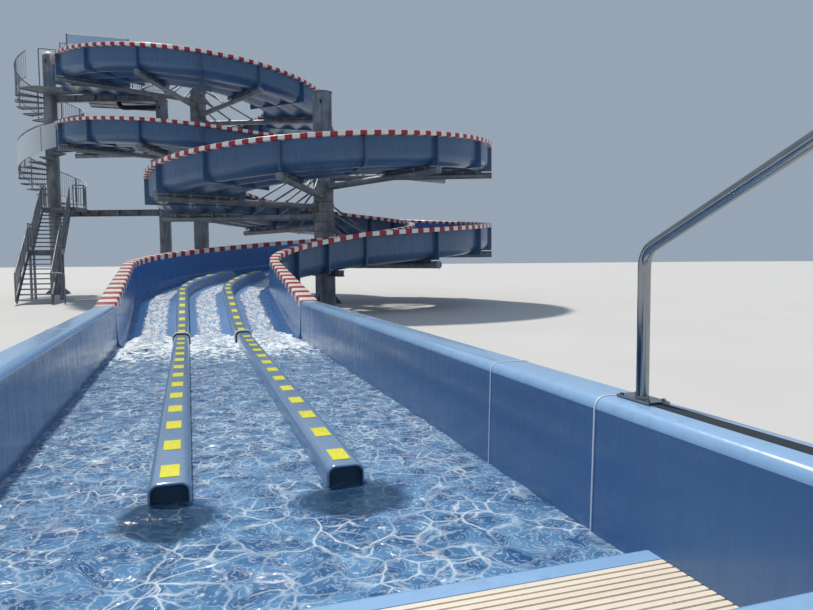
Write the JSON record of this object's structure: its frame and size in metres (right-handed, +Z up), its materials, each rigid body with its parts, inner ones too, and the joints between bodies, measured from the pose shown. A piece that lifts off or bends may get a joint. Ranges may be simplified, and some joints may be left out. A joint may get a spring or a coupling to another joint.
{
  "type": "water slide tower",
  "caption": "Three-lane water slide: an open trough coils in a figure of eight round two steel columns and ends in a ground basin, with a launch deck reached by stairs.",
  "frame": {"origin": "centre of the right main column's base plate, on its underside at ground level", "axes": "+Y from the basin along the run-out towards the tower, +X to the right seen from the basin, +Z up"},
  "size_m": [16.5561, 35.52, 11.1],
  "materials": {
    "trough_gelcoat": "glossy blue gelcoat on glass-fibre",
    "basin_gelcoat": "glossy light blue gelcoat on glass-fibre",
    "rim_red": "glossy red gelcoat block",
    "rim_white": "glossy white gelcoat block",
    "lane_yellow": "yellow lane mark",
    "weathered_galvanised_column": "dull weathered zinc",
    "galvanised_steel": "hot-dip galvanised, matt",
    "stainless_tube": "satin ground stainless tube",
    "beige_slats": "ribbed plastic slats",
    "pale_board": "pale coated board",
    "black_polyethylene": "black pipe",
    "banner_cloth": "pale coated mesh cloth",
    "white_cap": "white cap and sealing joints",
    "pool_water": "clear rippled water"
  },
  "bodies": {
    "root": {"launch_trough": "trough_gelcoat", "left_coil_trough_1": "trough_gelcoat", "left_coil_trough_2": "trough_gelcoat", "left_coil_trough_3": "trough_gelcoat", "left_coil_trough_4": "trough_gelcoat", "crossover_trough": "trough_gelcoat", "right_coil_trough_1": "trough_gelcoat", "right_coil_trough_2": "trough_gelcoat", "right_coil_trough_3": "trough_gelcoat", "right_coil_trough_4": "trough_gelcoat", "reverse_curve_trough": "trough_gelcoat", "chute_trough": "trough_gelcoat", "basin_head": "basin_gelcoat", "basin_middle": "basin_gelcoat", "basin_weir_section": "basin_gelcoat", "basin_exit_section": "basin_gelcoat", "basin_divider_left": "basin_gelcoat", "basin_divider_right": "basin_gelcoat", "exit_steps": "basin_gelcoat", "right_main_column": "weathered_galvanised_column", "left_main_column": "weathered_galvanised_column", "stair_column": "weathered_galvanised_column", "platform_column": "weathered_galvanised_column", "landing_beam": "weathered_galvanised_column", "platform_beam": "weathered_galvanised_column", "left_coil_arm_1": "galvanised_steel", "left_coil_arm_2": "galvanised_steel", "left_coil_arm_3": "galvanised_steel", "left_coil_arm_4": "galvanised_steel", "left_coil_arm_5": "galvanised_steel", "left_coil_arm_6": "galvanised_steel", "left_coil_arm_7": "galvanised_steel", "left_coil_arm_8": "galvanised_steel", "left_coil_arm_9": "galvanised_steel", "left_coil_arm_10": "galvanised_steel", "right_coil_arm_1": "galvanised_steel", "right_coil_arm_2": "galvanised_steel", "right_coil_arm_3": "galvanised_steel", "right_coil_arm_4": "galvanised_steel", "right_coil_arm_5": "galvanised_steel", "right_coil_arm_6": "galvanised_steel", "right_coil_arm_7": "galvanised_steel", "right_coil_arm_8": "galvanised_steel", "right_coil_arm_9": "galvanised_steel", "right_coil_arm_10": "galvanised_steel", "right_coil_arm_11": "galvanised_steel", "right_coil_arm_12": "galvanised_steel", "reverse_curve_trestle": "galvanised_steel", "platform_deck": "galvanised_steel", "platform_railing": "galvanised_steel", "upper_stair_flight": "galvanised_steel", "lower_stair_flight": "galvanised_steel", "middle_landing": "galvanised_steel", "upper_landing": "galvanised_steel", "spiral_stair": "galvanised_steel", "spiral_railing": "galvanised_steel", "coping_handrail": "stainless_tube", "weir_grating": "beige_slats", "start_portal": "pale_board", "feed_pipe": "black_polyethylene"}
  },
  "joints": []
}
